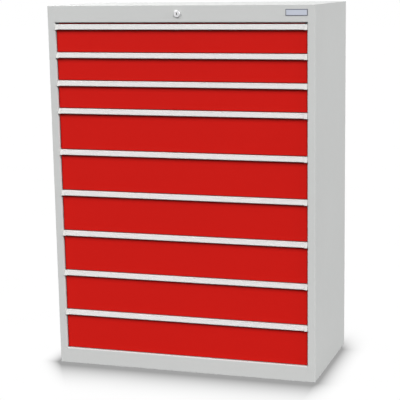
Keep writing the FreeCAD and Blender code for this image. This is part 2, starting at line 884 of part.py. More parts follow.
def fixed_nodes():
    """Every node that stands still, by name."""
    posts = [post(setback) for setback in POST_SETBACKS]
    rails = [cabinet_rail(slide_height(bottom)) for _, bottom, _ in drawer_levels()]
    left_side = side_panel()
    return {
        "side_panel_left": [left_side],
        "side_panel_right": [mirrored(left_side)],
        "top_panel": [top_panel()],
        "base_panel": [base_panel()],
        "back_panel": [back_panel()],
        "head_rail": [head_rail()],
        "base_rail": [base_rail()],
        "posts_left": posts,
        "posts_right": [mirrored(piece) for piece in posts],
        "cabinet_rails_left": rails,
        "cabinet_rails_right": [mirrored(piece) for piece in rails],
        "lock_housing": [lock_housing()],
        "lock_nut": [lock_nut()],
        "crank_stud": [crank_stud()],
        "bar_guides": bar_guides(),
        "rod_guides": rod_guides(),
        "name_plate": [name_plate()],
    }


def lock_nodes():
    """Every moving node of the lock, by name."""
    return {
        "lock_cylinder": [lock_cylinder()],
        "lock_cam": [lock_cam()],
        "lock_rod": [lock_rod()],
        "lock_crank": [lock_crank()],
        "lock_bar": [lock_bar()],
        "lock_hooks": lock_hooks(),
    }


def drawer_nodes():
    """The nodes of all drawers and of their middle rails, by name."""
    nodes = {}
    for number, bottom, top in drawer_levels():
        upstand = UPSTAND if number == 1 else 0
        nodes["drawer_box_%d" % number] = drawer_box(bottom, top)
        nodes["drawer_front_%d" % number] = [drawer_front(bottom, top, upstand)]
        nodes["handle_strip_%d" % number] = handle_strip(top)
        nodes["middle_rails_%d" % number] = middle_rails(bottom)
    return nodes


def main():
    os.makedirs("parts", exist_ok=True)
    for nodes in (fixed_nodes(), lock_nodes(), drawer_nodes()):
        for name, solids in nodes.items():
            shape = solids[0] if len(solids) == 1 else Part.makeCompound(solids)
            if not shape.isValid():
                raise ValueError("%s is not a valid shape" % name)
            shape.exportStep("parts/%s.step" % name)
            print("%-22s %2d solids %10.0f mm3" % (name, len(shape.Solids), shape.Volume))


main()
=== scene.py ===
import json
import math

import bmesh
import bpy
from mathutils import Matrix, Vector


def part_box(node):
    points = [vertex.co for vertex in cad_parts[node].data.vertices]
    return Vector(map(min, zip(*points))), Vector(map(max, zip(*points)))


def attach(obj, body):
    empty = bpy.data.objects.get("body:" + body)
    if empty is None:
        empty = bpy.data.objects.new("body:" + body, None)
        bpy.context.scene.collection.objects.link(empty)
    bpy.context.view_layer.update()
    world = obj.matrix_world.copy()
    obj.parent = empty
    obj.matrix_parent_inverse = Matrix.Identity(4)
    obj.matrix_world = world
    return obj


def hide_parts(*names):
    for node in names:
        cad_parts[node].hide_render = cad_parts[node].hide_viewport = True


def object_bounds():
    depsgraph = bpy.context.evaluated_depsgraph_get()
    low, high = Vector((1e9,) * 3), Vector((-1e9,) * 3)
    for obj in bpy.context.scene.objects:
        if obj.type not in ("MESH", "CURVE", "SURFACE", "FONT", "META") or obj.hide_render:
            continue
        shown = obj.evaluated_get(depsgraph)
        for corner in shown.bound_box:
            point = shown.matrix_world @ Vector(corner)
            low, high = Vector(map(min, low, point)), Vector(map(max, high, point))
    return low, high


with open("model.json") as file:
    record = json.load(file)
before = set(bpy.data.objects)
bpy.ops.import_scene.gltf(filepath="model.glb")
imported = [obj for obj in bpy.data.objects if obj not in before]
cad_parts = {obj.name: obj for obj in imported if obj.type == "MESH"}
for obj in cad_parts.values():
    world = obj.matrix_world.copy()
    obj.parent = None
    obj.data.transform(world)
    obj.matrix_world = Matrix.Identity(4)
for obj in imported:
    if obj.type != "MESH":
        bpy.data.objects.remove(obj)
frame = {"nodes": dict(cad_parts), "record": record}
cad_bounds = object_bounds()

DRAWERS = range(1, 10)

# Camera, fitted to the photograph: its place and reach in metres, its turns in degrees, and
# its focal length and centre in pixels of a picture 400 pixels wide
IMAGE_SIZE = 400.0
CAMERA_PLACE = (1.4518, -4.3675, 1.4161)
CAMERA_YAW = 16.983
CAMERA_PITCH = 11.039
CAMERA_ROLL = -0.699
CAMERA_FOCAL = 1245.8
CAMERA_CENTRE = (233.30, 219.22)
CAMERA_REACH = 200.0
SENSOR_WIDTH = 36.0

# Light: soft suns by their turn from the front towards the right, their height and their
# width in the sky, in degrees, and an even sky
SUNS = {
    "key": {"turn": -42.0, "height": 37.0, "width": 34.0, "strength": 2.38},
    "front": {"turn": 42.0, "height": 37.0, "width": 34.0, "strength": 2.18},
    "side": {"turn": 85.0, "height": 10.0, "width": 20.0, "strength": 1.45},
    "back": {"turn": -140.0, "height": 26.0, "width": 40.0, "strength": 1.60},
}
WORLD_LIGHT = 0.10

# Floor: its size in metres, the share of light that it throws back, and its brightness from
# its darkest to its lightest place
FLOOR_SIZE = 60.0
FLOOR_BOUNCE = 0.10
FLOOR_WHITE = (1.0, 1.01)

# Contact shadow round the foot, in metres: its reach on each side, how far before the back it
# begins to fade, and how far in its left edge slants for each metre in front of the cabinet
REACH_LEFT = 0.101
REACH_RIGHT = 0.123
REACH_FRONT = 0.398
REACH_BACK = 0.331
BACK_START = 0.082
SLANT_LEFT = 0.53

# Contact shadow's darkness: the powers by which it fades, how dark it would be where it hasn't
# faded, and the most that it comes to
FADE_SIDEWAYS = 2.82
FADE_FRONT = 3.24
FADE_BACK = 4.28
CONTACT_SLOPE = 0.83
CONTACT_DEPTH = 0.64

# Shade under an open drawer: how far it reaches down in metres, how dark it gets, and the share
# of open space above from which the floor is clear of it
COVER_REACH = 0.35
COVER_DEPTH = 0.55
COVER_CLEAR = 0.5
COVER_SAMPLES = 32

# Drawer trays, in metres: folded sheet with slots for dividers and a hem
TRAY_SHEET = 0.0011
TRAY_BEND = 0.0030
TRAY_HEM = 0.0080
FOLD_RADIUS = 0.55 * TRAY_SHEET
SLOT_WIDTH = 0.0025
SLOT_PITCH = 0.025
SLOT_MARGIN_END = 0.020
SLOT_MARGIN_LOW = 0.014
SLOT_MARGIN_HIGH = 0.016

# Inner slide members on the trays' sides and the lock catch at the left, in metres
RAIL_FLANGE = 0.0065
RAIL_SHEET = 0.0014
RAIL_BEND = 0.0012
RAIL_HALF_HEIGHT = 0.0115
RAIL_ABOVE_BOTTOM = 0.0325
RAIL_SETBACK = 0.013
CATCH_SETBACK = 0.007
CATCH_LEG = 0.026
CATCH_LOW = 0.0115
CATCH_HIGH = 0.0010

# Straight pieces that stand for the bends of a sheet and for the fold of its hem
BEND_STEPS = 4
FOLD_STEPS = 6

# Label inserts in the handle strips' sloping faces, in metres, and the cells of their sheets
STRIP_HEIGHT = 0.019
STRIP_SLOPE_REACH = 0.0080
STRIP_TOP_SETBACK = 0.0040
CAP_WIDTH = 0.011
CAP_GAP = 0.0003
LABEL_MARGIN = 0.0031
CARD_DEPTH = 0.00060
CARD_THICKNESS = 0.00025
FILM_DEPTH = 0.00022
FILM_THICKNESS = 0.00018
LABEL_ROWS = 4
LABEL_COLUMNS = 24

# Blind rivets round the back panel, in metres, and the profile of their heads from the dimple
# to the rim, in shares of the radius and of the rise
RIVET_RADIUS = 0.0034
RIVET_RISE = 0.0010
RIVET_EDGE = 0.011
RIVET_COLUMNS = 7
RIVET_ROWS = 9
RIVET_SIDES = 16
RIVET_PROFILE = ((0.30, 0.25), (0.36, 0.95), (0.62, 0.86), (0.86, 0.58), (1.0, 0.0))

# Colours, linear
WHITE = (1.0, 1.0, 1.0)
CARCASS_GREY = (0.565, 0.573, 0.567)
FRONT_RED = (0.548, 0.0080, 0.0049)
TRAY_GREY = (0.50, 0.51, 0.505)
STRIP_LIGHT = (0.545, 0.535, 0.525)
CAP_LIGHT = (0.50, 0.495, 0.485)
CARD_WHITE = (0.568, 0.562, 0.560)
ZINC = (0.60, 0.61, 0.62)
CHROME = (0.60, 0.60, 0.61)
GUIDE_BLACK = (0.03, 0.03, 0.032)
PLATE_FACE = (0.50, 0.53, 0.61)
PLATE_RIM = (0.125, 0.13, 0.155)

# Ranges of a noise's values that a finish stretches to its own: round the middle, from wide to
# narrow, then higher and higher ones, and one for the sum of two noises
NOISE_WIDE = (0.25, 0.75)
NOISE_MOST = (0.3, 0.7)
NOISE_MIDDLE = (0.35, 0.65)
NOISE_CENTRE = (0.4, 0.6)
NOISE_UPPER = (0.4, 0.7)
NOISE_HIGH = (0.4, 0.8)
NOISE_HIGHER = (0.45, 0.8)
NOISE_PEAKS = (0.62, 0.75)
NOISE_SUM = (0.7, 1.3)

# Patterns of the finishes in waves a metre, with one number for each of X, Y and Z where a
# pattern is drawn out into lines
COAT_CLOUDS = 2.3
COAT_SPECKS = 900.0
COAT_WEAR = 140.0
COAT_GLOSS = 38.0
STRIP_LINES = (6.0, 2400.0, 2400.0)
STRIP_WEAR = 90.0
STRIP_GLOSS = 11.0
CAP_SPARK = 1300.0
ZINC_CRYSTALS = 160.0
ZINC_CLOUDS = 26.0
ZINC_GRAIN = 420.0
CHROME_MARKS = (900.0, 120.0, 900.0)
PLASTIC_CLOUDS = 60.0
PLASTIC_SPARK = 1500.0
PLATE_LINES = (60.0, 900.0, 2600.0)
CARD_FIBRES = 1800.0
FILM_SCUFFS = (40.0, 1500.0, 1500.0)
FLOOR_CLOUDS = 3.0

# Powder coat: how dark its specks are and how much they show, how far its roughness strays to
# either side, and how many times finer its second orange peel is
SPECK_SHADE = 0.7
SPECK_STRENGTH = 0.12
COAT_SMOOTHER = 0.05
COAT_ROUGHER = 0.06
FINER_PEEL = 3.1

# Zinc: distances in its crystals that its clouding uses, their share in it, and the part of
# the two patterns' sum that it stretches
CRYSTAL_SPAN = (0.0, 0.9)
CRYSTAL_SHARE = 0.35
CLOUDING_SPAN = (0.35, 0.95)

# Handle strips and name plate, in metres: half the width of a cap's seam, the width of the
# plate's border, and the shares of that width between which it ends
SEAM_HALF_WIDTH = 0.0001
PLATE_BORDER = 0.0024
PLATE_BORDER_EDGE = (0.95, 1.02)

# Roughness of the other finishes from their smoothest to their dullest places, and how far the
# label's film covers what is under it
STRIP_ROUGHNESS = (0.42, 0.52)
CAP_ROUGHNESS = 0.55
ZINC_ROUGHNESS = (0.28, 0.45)
CHROME_ROUGHNESS = (0.38, 0.48)
PLASTIC_ROUGHNESS = (0.45, 0.60)
PLATE_ROUGHNESS = (0.32, 0.44)
CARD_ROUGHNESS = (0.75, 0.90)
FILM_ROUGHNESS = (0.30, 0.45)
FILM_ALPHA = (0.03, 0.06)

# Edges: the radius in metres to which they are rounded, and the cosines of the normal's turn
# where an edge begins and where it is full
COAT_EDGE = 0.0008
STRIP_EDGE = 0.0005
EDGE_TURN = (0.98, 0.75)
EDGE_SAMPLES = 6


def paler(colour, share):
    """Colour moved towards white by a share."""
    return tuple(value + (1.0 - value) * share for value in colour)


def shade(colour, factor):
    """Colour made darker or lighter by a factor."""
    return tuple(value * factor for value in colour)


def spread(start, end, steps):
    """Evenly spaced values from start to end, with both of them."""
    return [start + (end - start) * i / steps for i in range(steps + 1)]


def direction(turn, height):
    """Unit vector by its turn from the front towards the right and its height, in radians."""
    across = math.cos(height)
    return Vector((math.sin(turn) * across, -math.cos(turn) * across, math.sin(height)))


class Nodes:
    """Short calls for building the nodes of a material or of the world."""

    def __init__(self, owner, output="ShaderNodeOutputMaterial"):
        owner.use_nodes = True
        self.owner = owner
        self.tree = owner.node_tree
        self.tree.nodes.clear()
        self.output = self.tree.nodes.new(output)
        self.coords = None

    def add(self, kind, inputs=None, **settings):
        """New node with its settings, and with its inputs linked or set."""
        node = self.tree.nodes.new(kind)
        for key, value in settings.items():
            setattr(node, key, value)
        for key, value in (inputs or {}).items():
            socket = node.inputs[key]
            if isinstance(value, bpy.types.NodeSocket):
                self.tree.links.new(value, socket)
            elif socket.type == "RGBA":
                socket.default_value = (*value, 1.0)
            else:
                socket.default_value = value
        return node

    def show(self, shader):
        """Links a shader to the output."""
        self.tree.links.new(shader.outputs[0], self.output.inputs["Surface"])

    def finish(self, inputs):
        """Shows a principled shader with these inputs, and gives back the material."""
        self.show(self.add("ShaderNodeBsdfPrincipled", inputs))
        return self.owner

    def place(self):
        """Position in metres: every piece has its place in its mesh."""
        if self.coords is None:
            self.coords = self.add("ShaderNodeTexCoord").outputs["Object"]
        return self.coords

    def axes(self):
        """Position along each axis, by the axis's name."""
        return self.add("ShaderNodeSeparateXYZ", {"Vector": self.place()}).outputs

    def noise(self, waves, detail=2.0, roughness=0.5, vector=None):
        """Noise from 0 to 1, with so many waves a metre."""
        inputs = {
            "Vector": vector or self.place(),
            "Scale": waves,
            "Detail": detail,
            "Roughness": roughness,
        }
        return self.add("ShaderNodeTexNoise", inputs).outputs["Fac"]

    def lines(self, waves, roughness):
        """Noise drawn out into lines, with its own waves a metre along each axis."""
        stretched = self.add("ShaderNodeMapping", {"Vector": self.place(), "Scale": waves})
        return self.noise(1.0, 3.0, roughness, stretched.outputs["Vector"])

    def fit(self, value, old, new=(0.0, 1.0)):
        """Value moved from an old range to a new one, and kept inside it."""
        inputs = {
            "Value": value,
            "From Min": old[0],
            "From Max": old[1],
            "To Min": new[0],
            "To Max": new[1],
        }
        return self.add("ShaderNodeMapRange", inputs).outputs["Result"]

    def blend(self, share, first, second):
        """First colour moved towards the second by a share."""
        inputs = {0: share, 6: first, 7: second}
        return self.add("ShaderNodeMix", inputs, data_type="RGBA").outputs[2]

    def shades(self, share, colour, darkest, lightest):
        """Colour from its darkest shade to its lightest, by a share."""
        return self.blend(share, shade(colour, darkest), shade(colour, lightest))

    def math(self, operation, first, second=0.0):
        """Result of one operation on one or two values."""
        inputs = {0: first, 1: second}
        return self.add("ShaderNodeMath", inputs, operation=operation).outputs[0]

    def bump(self, height, strength, distance, normal=None):
        """Normal that follows a height, on top of another normal if it is given."""
        inputs = {"Height": height, "Strength": strength, "Distance": distance}
        if normal is not None:
            inputs["Normal"] = normal
        return self.add("ShaderNodeBump", inputs).outputs["Normal"]

    def worn_edges(self, radius, waves, values, most):
        """Normal that is rounded over at edges, and wear there in patches, from 0 to most."""
        bevel = self.add("ShaderNodeBevel", {"Radius": radius}, samples=EDGE_SAMPLES)
        rounded = bevel.outputs["Normal"]
        flat = self.add("ShaderNodeNewGeometry").outputs["Normal"]
        turn = self.add("ShaderNodeVectorMath", {0: rounded, 1: flat}, operation="DOT_PRODUCT")
        edge = self.fit(turn.outputs["Value"], EDGE_TURN)
        patches = self.fit(self.noise(waves, detail=3.0), values, (0.0, most))
        return rounded, self.math("MULTIPLY", edge, patches)

    def seen_directly(self):
        """1 for what the camera sees, straight or mirrored or through glass, otherwise 0."""
        path = self.add("ShaderNodeLightPath").outputs
        seen = self.math("MAXIMUM", path["Is Camera Ray"], path["Is Glossy Ray"])
        return self.math("MAXIMUM", seen, path["Is Transmission Ray"])


def material_nodes(name):
    """Nodes of a new material."""
    return Nodes(bpy.data.materials.new(name))


def powder_coat(name, colour, roughness, gloss, peel, wear):
    """Baked powder coat: fine orange peel, faint cloudiness and a little wear on edges."""
    nodes = material_nodes(name)
    clouds = nodes.fit(nodes.noise(COAT_CLOUDS, detail=3.0), NOISE_MOST)
    tint = nodes.shades(clouds, colour, darkest=0.985, lightest=1.01)
    specks = nodes.noise(COAT_SPECKS, detail=1.0)
    specks = nodes.fit(specks, NOISE_PEAKS, (0.0, SPECK_STRENGTH))
    tint = nodes.blend(specks, tint, shade(colour, SPECK_SHADE))
    rounded, worn = nodes.worn_edges(COAT_EDGE, COAT_WEAR, NOISE_MIDDLE, most=wear)
    tint = nodes.blend(worn, tint, paler(colour, share=0.25))
    coarse = nodes.noise(peel, roughness=0.55)
    fine = nodes.noise(peel * FINER_PEEL, roughness=0.6)
    normal = nodes.bump(coarse, strength=0.22, distance=0.0002, normal=rounded)
    normal = nodes.bump(fine, strength=0.10, distance=0.0001, normal=normal)
    limits = (roughness - COAT_SMOOTHER, roughness + COAT_ROUGHER)
    dullness = nodes.fit(nodes.noise(COAT_GLOSS, detail=3.0), NOISE_WIDE, limits)
    return nodes.finish(
        {
            "Base Color": tint,
            "Roughness": dullness,
            "Normal": normal,
            "Specular IOR Level": gloss,
        }
    )


def handle_strip_metal(name, cap_start):
    """Extruded metal with fine lines along its length, and moulded caps beyond cap_start."""
    nodes = material_nodes(name)
    off_middle = nodes.math("ABSOLUTE", nodes.axes()["X"])
    seam = (cap_start - SEAM_HALF_WIDTH, cap_start + SEAM_HALF_WIDTH)
    in_cap = nodes.fit(off_middle, seam)
    lines = nodes.lines(STRIP_LINES, roughness=0.6)
    spark = nodes.noise(CAP_SPARK)
    metal = nodes.shades(lines, STRIP_LIGHT, darkest=0.98, lightest=1.02)
    plastic = nodes.shades(spark, CAP_LIGHT, darkest=0.97, lightest=1.02)
    rounded, worn = nodes.worn_edges(STRIP_EDGE, STRIP_WEAR, NOISE_UPPER, most=0.25)
    tint = nodes.blend(in_cap, metal, plastic)
    tint = nodes.blend(worn, tint, paler(STRIP_LIGHT, share=0.3))
    uneven = nodes.math("ADD", lines, nodes.noise(STRIP_GLOSS))
    roughness = nodes.fit(uneven, NOISE_SUM, STRIP_ROUGHNESS)
    in_cap_roughness = nodes.math("MULTIPLY", in_cap, CAP_ROUGHNESS)
    grain = nodes.math("ADD", lines, nodes.math("MULTIPLY", in_cap, spark))
    return nodes.finish(
        {
            "Base Color": tint,
            "Metallic": 0.12,
            "Roughness": nodes.math("MAXIMUM", roughness, in_cap_roughness),
            "Normal": nodes.bump(grain, strength=0.06, distance=0.00005, normal=rounded),
        }
    )


def bare_metal(nodes, tint, roughness, normal):
    """Finished material of a metal without paint."""
    return nodes.finish(
        {"Base Color": tint, "Metallic": 1.0, "Roughness": roughness, "Normal": normal}
    )


def zinc_plate(name):
    """Bright zinc on steel: soft crystal clouding and dull spots."""
    nodes = material_nodes(name)
    cells = nodes.add("ShaderNodeTexVoronoi", {"Vector": nodes.place(), "Scale": ZINC_CRYSTALS})
    crystals = nodes.fit(cells.outputs["Distance"], CRYSTAL_SPAN, (0.0, CRYSTAL_SHARE))
    clouds = nodes.noise(ZINC_CLOUDS, detail=4.0, roughness=0.6)
    clouding = nodes.fit(nodes.math("ADD", crystals, clouds), CLOUDING_SPAN)
    tint = nodes.shades(clouding, ZINC, darkest=0.84, lightest=1.0)
    roughness = nodes.fit(clouds, NOISE_MOST, ZINC_ROUGHNESS)
    normal = nodes.bump(nodes.noise(ZINC_GRAIN), strength=0.10, distance=0.0001)
    return bare_metal(nodes, tint, roughness, normal)


def polished(name, colour):
    """Chromed metal with hairline polishing marks."""
    nodes = material_nodes(name)
    marks = nodes.lines(CHROME_MARKS, roughness=0.7)
    tint = nodes.shades(marks, colour, darkest=0.92, lightest=1.0)
    roughness = nodes.fit(marks, NOISE_MOST, CHROME_ROUGHNESS)
    return bare_metal(nodes, tint, roughness, nodes.bump(marks, strength=0.06, distance=0.00005))


def moulded_plastic(name, colour):
    """Spark-textured moulded plastic."""
    nodes = material_nodes(name)
    spark = nodes.noise(PLASTIC_SPARK)
    tint = nodes.blend(nodes.noise(PLASTIC_CLOUDS), colour, paler(colour, share=0.04))
    return nodes.finish(
        {
            "Base Color": tint,
            "Roughness": nodes.fit(spark, NOISE_MOST, PLASTIC_ROUGHNESS),
            "Normal": nodes.bump(spark, strength=0.2, distance=0.0001),
        }
    )


def name_plate_metal(name):
    """Satin plate whose raised border is darker than its bare field."""
    nodes = material_nodes(name)
    low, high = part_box("name_plate")
    axes = nodes.axes()
    to_edge = []
    for value, start, end in ((axes["X"], low.x, high.x), (axes["Z"], low.z, high.z)):
        off_middle = nodes.math("ABSOLUTE", nodes.math("SUBTRACT", value, (start + end) / 2))
        to_edge.append(nodes.math("SUBTRACT", (end - start) / 2, off_middle))
    border_edge = [PLATE_BORDER * share for share in PLATE_BORDER_EDGE]
    in_field = nodes.fit(nodes.math("MINIMUM", *to_edge), border_edge)
    lines = nodes.lines(PLATE_LINES, roughness=0.6)
    field = nodes.shades(lines, PLATE_FACE, darkest=0.92, lightest=1.0)
    border = nodes.shades(lines, PLATE_RIM, darkest=1.0, lightest=1.2)
    return nodes.finish(
        {
            "Base Color": nodes.blend(in_field, border, field),
            "Metallic": 0.35,
            "Roughness": nodes.fit(lines, NOISE_MOST, PLATE_ROUGHNESS),
            "Normal": nodes.bump(lines, strength=0.1, distance=0.00005),
        }
    )


def card(name):
    """Plain paper label: fine fibres, slightly uneven white."""
    nodes = material_nodes(name)
    fibres = nodes.noise(CARD_FIBRES, detail=4.0, roughness=0.7)
    whiteness = nodes.fit(fibres, NOISE_MOST)
    return nodes.finish(
        {
            "Base Color": nodes.shades(whiteness, CARD_WHITE, darkest=0.98, lightest=1.0),
            "Roughness": nodes.fit(fibres, NOISE_MOST, CARD_ROUGHNESS),
            "Normal": nodes.bump(fibres, strength=0.05, distance=0.00002),
            "Specular IOR Level": 0.2,
        }
    )


def clear_film(name):
    """Thin clear cover over a label, with faint scuffs."""
    nodes = material_nodes(name)
    scuffs = nodes.lines(FILM_SCUFFS, roughness=0.7)
    return nodes.finish(
        {
            "Base Color": WHITE,
            "Roughness": nodes.fit(scuffs, NOISE_HIGH, FILM_ROUGHNESS),
            "Alpha": nodes.fit(scuffs, NOISE_HIGHER, FILM_ALPHA),
            "Normal": nodes.bump(scuffs, strength=0.02, distance=0.00002),
        }
    )


def all_materials():
    """Every finish, by its slot or its piece."""
    cap_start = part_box("handle_strip_1")[1].x - CAP_WIDTH
    return {
        "carcass_paint": powder_coat(
            "carcass_paint", CARCASS_GREY, roughness=0.58, gloss=0.06, peel=700.0, wear=0.15
        ),
        "front_red": powder_coat(
            "front_red", FRONT_RED, roughness=0.42, gloss=0.12, peel=600.0, wear=0.1
        ),
        "drawer_paint": powder_coat(
            "drawer_paint", TRAY_GREY, roughness=0.45, gloss=0.30, peel=700.0, wear=0.5
        ),
        "strip_aluminium": handle_strip_metal("strip_aluminium", cap_start),
        "bright_steel": zinc_plate("bright_steel"),
        "lock_chrome": polished("lock_chrome", CHROME),
        "guide_plastic": moulded_plastic("guide_plastic", GUIDE_BLACK),
        "plate_metal": name_plate_metal("plate_metal"),
        "label_card": card("label_card"),
        "label_film": clear_film("label_film"),
    }


def dress_nodes(materials):
    """Gives every carried-over node its material."""
    for part in frame["record"]["subparts"]:
        mesh = frame["nodes"][part["node"]].data
        mesh.materials.clear()
        mesh.materials.append(materials[part["material_slot"]])


def link(thing):
    """Puts an object in the scene."""
    bpy.context.scene.collection.objects.link(thing)


def add_camera():
    """Camera at the photograph's place, with its turn and lens."""
    yaw, pitch, roll = (math.radians(a) for a in (CAMERA_YAW, CAMERA_PITCH, CAMERA_ROLL))
    back = direction(yaw, pitch)
    right = (-back).cross(Vector((0, 0, 1))).normalized()
    up = back.cross(right)
    rolled_right = right * math.cos(roll) + up * math.sin(roll)
    rolled_up = up * math.cos(roll) - right * math.sin(roll)
    data = bpy.data.cameras.new("camera")
    data.sensor_width = SENSOR_WIDTH
    data.lens = SENSOR_WIDTH * CAMERA_FOCAL / IMAGE_SIZE
    data.shift_x = (IMAGE_SIZE / 2 - CAMERA_CENTRE[0]) / IMAGE_SIZE
    data.shift_y = (CAMERA_CENTRE[1] - IMAGE_SIZE / 2) / IMAGE_SIZE
    data.clip_end = CAMERA_REACH
    camera = bpy.data.objects.new("camera", data)
    turn = Matrix((rolled_right, rolled_up, back)).transposed().to_4x4()
    camera.matrix_world = Matrix.Translation(CAMERA_PLACE) @ turn
    link(camera)
    bpy.context.scene.camera = camera


def add_sun(name, turn, height, width, strength):
    """Soft sun in a direction given by its turn from the front and its height, in degrees."""
    data = bpy.data.lights.new(name, "SUN")
    data.energy = strength
    data.angle = math.radians(width)
    towards = direction(math.radians(turn), math.radians(height))
    lamp = bpy.data.objects.new(name, data)
    lamp.rotation_mode = "QUATERNION"
    lamp.rotation_quaternion = towards.to_track_quat("Z", "Y")
    link(lamp)


def add_world():
    """Even soft light, with a white background where it is seen."""
    nodes = Nodes(bpy.data.worlds.new("world"), output="ShaderNodeOutputWorld")
    strength = nodes.fit(nodes.seen_directly(), (0.0, 1.0), (WORLD_LIGHT, 1.0))
    nodes.show(nodes.add("ShaderNodeBackground", {"Color": WHITE, "Strength": strength}))
    bpy.context.scene.world = nodes.owner


def foot_brightness(nodes):
    """Brightness of the floor round the cabinet's foot, from 0 to 1."""
    low, high = cad_bounds
    axes = nodes.axes()
    before = (low.y - REACH_FRONT, low.y)
    left_start = nodes.fit(axes["Y"], before, (low.x + SLANT_LEFT * REACH_FRONT, low.x))
    left_end = nodes.math("SUBTRACT", left_start, REACH_LEFT)
    at_left = nodes.fit(axes["X"], (left_end, left_start))
    at_right = nodes.fit(axes["X"], (high.x, high.x + REACH_RIGHT), (1.0, 0.0))
    in_front = nodes.fit(axes["Y"], before)
    behind = nodes.fit(axes["Y"], (high.y - BACK_START, high.y + REACH_BACK), (1.0, 0.0))
    sideways = nodes.math("POWER", nodes.math("MINIMUM", at_left, at_right), FADE_SIDEWAYS)
    in_front = nodes.math("POWER", in_front, FADE_FRONT)
    behind = nodes.math("POWER", behind, FADE_BACK)
    lengthwise = nodes.math("MULTIPLY", in_front, behind)
    darkness = nodes.math("MULTIPLY", nodes.math("MULTIPLY", sideways, lengthwise), CONTACT_SLOPE)
    return nodes.math("SUBTRACT", 1.0, nodes.math("MINIMUM", darkness, CONTACT_DEPTH))


def covered_brightness(nodes):
    """Brightness of the floor by how open the space above it is, from 0 to 1."""
    openness = nodes.add(
        "ShaderNodeAmbientOcclusion", {"Distance": COVER_REACH}, samples=COVER_SAMPLES
    )
    return nodes.fit(openness.outputs["AO"], (0.0, COVER_CLEAR), (1.0 - COVER_DEPTH, 1.0))


def add_floor():
    """White floor that darkens round the cabinet's foot and under its open drawers."""
    nodes = material_nodes("floor")
    shaded = nodes.math("MINIMUM", foot_brightness(nodes), covered_brightness(nodes))
    mottle = nodes.fit(nodes.noise(FLOOR_CLOUDS), NOISE_CENTRE, FLOOR_WHITE)
    brightness = nodes.math("MULTIPLY", shaded, mottle)
    glow = nodes.add("ShaderNodeEmission", {"Color": WHITE, "Strength": brightness})
    diffuse = nodes.add("ShaderNodeBsdfDiffuse", {"Color": shade(WHITE, FLOOR_BOUNCE)})
    sides = {0: nodes.seen_directly(), 1: diffuse.outputs[0], 2: glow.outputs[0]}
    nodes.show(nodes.add("ShaderNodeMixShader", sides))
    half = FLOOR_SIZE / 2
    mesh = bpy.data.meshes.new("floor")
    corners = [(-half, -half, 0), (half, -half, 0), (half, half, 0), (-half, half, 0)]
    mesh.from_pydata(corners, [], [(0, 1, 2, 3)])
    mesh.materials.append(nodes.owner)
    floor = bpy.data.objects.new("floor", mesh)
    link(floor)


def new_piece(name, shape, material, body):
    """Object made of a shape, with its finish and the body it rides on."""
    bmesh.ops.recalc_face_normals(shape, faces=shape.faces)
    mesh = bpy.data.meshes.new(name)
    shape.to_mesh(mesh)
    shape.free()
    mesh.materials.append(material)
    piece = bpy.data.objects.new(name, mesh)
    link(piece)
    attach(piece, body)
    return piece


def arc(centre, radius, start, end, steps):
    """Points of an arc in a plane, its angles in degrees."""
    points = []
    for degrees in spread(start, end, steps):
        angle = math.radians(degrees)
        points.append((centre[0] + radius * math.cos(angle), centre[1] + radius * math.sin(angle)))
    return points


def along_x(first, second, station):
    """Place of a path's point in the Y-Z plane at a station along X."""
    return (station, first, second)


def along_y(first, second, station):
    """Place of a path's point in the X-Z plane at a station along Y."""
    return (first, station, second)


def along_z(first, second, station):
    """Place of a path's point in the X-Y plane at a station along Z."""
    return (first, second, station)


def add_sheet(shape, path, stations, to_space, thickness, holes=()):
    """Adds a sheet along a path of a plane and across it at stations, less some cells.

    holes has the cells left out, as pairs of a step along the path and one across it.
    """
    grid = [[shape.verts.new(to_space(*point, across)) for across in stations] for point in path]
    faces = []
    for i in range(len(path) - 1):
        for j in range(len(stations) - 1):
            if (i, j) not in holes:
                corners = (grid[i][j], grid[i + 1][j], grid[i + 1][j + 1], grid[i][j + 1])
                faces.append(shape.faces.new(corners))
    for vertex in [corner for row in grid for corner in row if not corner.link_faces]:
        shape.verts.remove(vertex)
    bmesh.ops.recalc_face_normals(shape, faces=faces)
    bmesh.ops.solidify(shape, geom=faces, thickness=thickness)


def slot_stations(start, end):
    """Positions across a wall at which its slots begin and end, and its own ends."""
    count = int((end - start - 2 * SLOT_MARGIN_END) / SLOT_PITCH)
    first = (start + end) / 2 - count * SLOT_PITCH / 2
    stations = [start]
    for i in range(count + 1):
        middle = first + i * SLOT_PITCH
        stations += [middle - SLOT_WIDTH / 2, middle + SLOT_WIDTH / 2]
    return stations + [end]


def slot_cells(step, stations):
    """Cells of one step of a path that are slots."""
    return {(step, j) for j in range(1, len(stations) - 2, 2)}


def hem(wall, high):
    """Points of a wall's hem, which folds over outwards and is highest at its crest."""
    crest = high - TRAY_SHEET / 2 - FOLD_RADIUS
    fold = arc((FOLD_RADIUS, crest), FOLD_RADIUS, 180, 0, FOLD_STEPS)
    fold.append((2 * FOLD_RADIUS, high - TRAY_HEM))
    return [(wall + across, up) for across, up in fold]


def add_sides(shape, half_width, span_y, span_z):
    """Tray bottom with both side walls, folded from one sheet."""
    low, high = span_z
    wall = half_width - TRAY_SHEET / 2
    bottom = low + TRAY_SHEET / 2
    right = arc((wall - TRAY_BEND, bottom + TRAY_BEND), TRAY_BEND, -90, 0, BEND_STEPS)
    right += [(wall, low + SLOT_MARGIN_LOW), (wall, high - SLOT_MARGIN_HIGH)]
    slot_step = len(right) - 2
    right += hem(wall, high)
    path = [(-across, up) for across, up in reversed(right)] + right
    stations = slot_stations(*span_y)
    holes = slot_cells(len(right) + slot_step, stations)
    holes |= slot_cells(len(right) - 2 - slot_step, stations)
    add_sheet(shape, path, stations, along_y, TRAY_SHEET, holes)


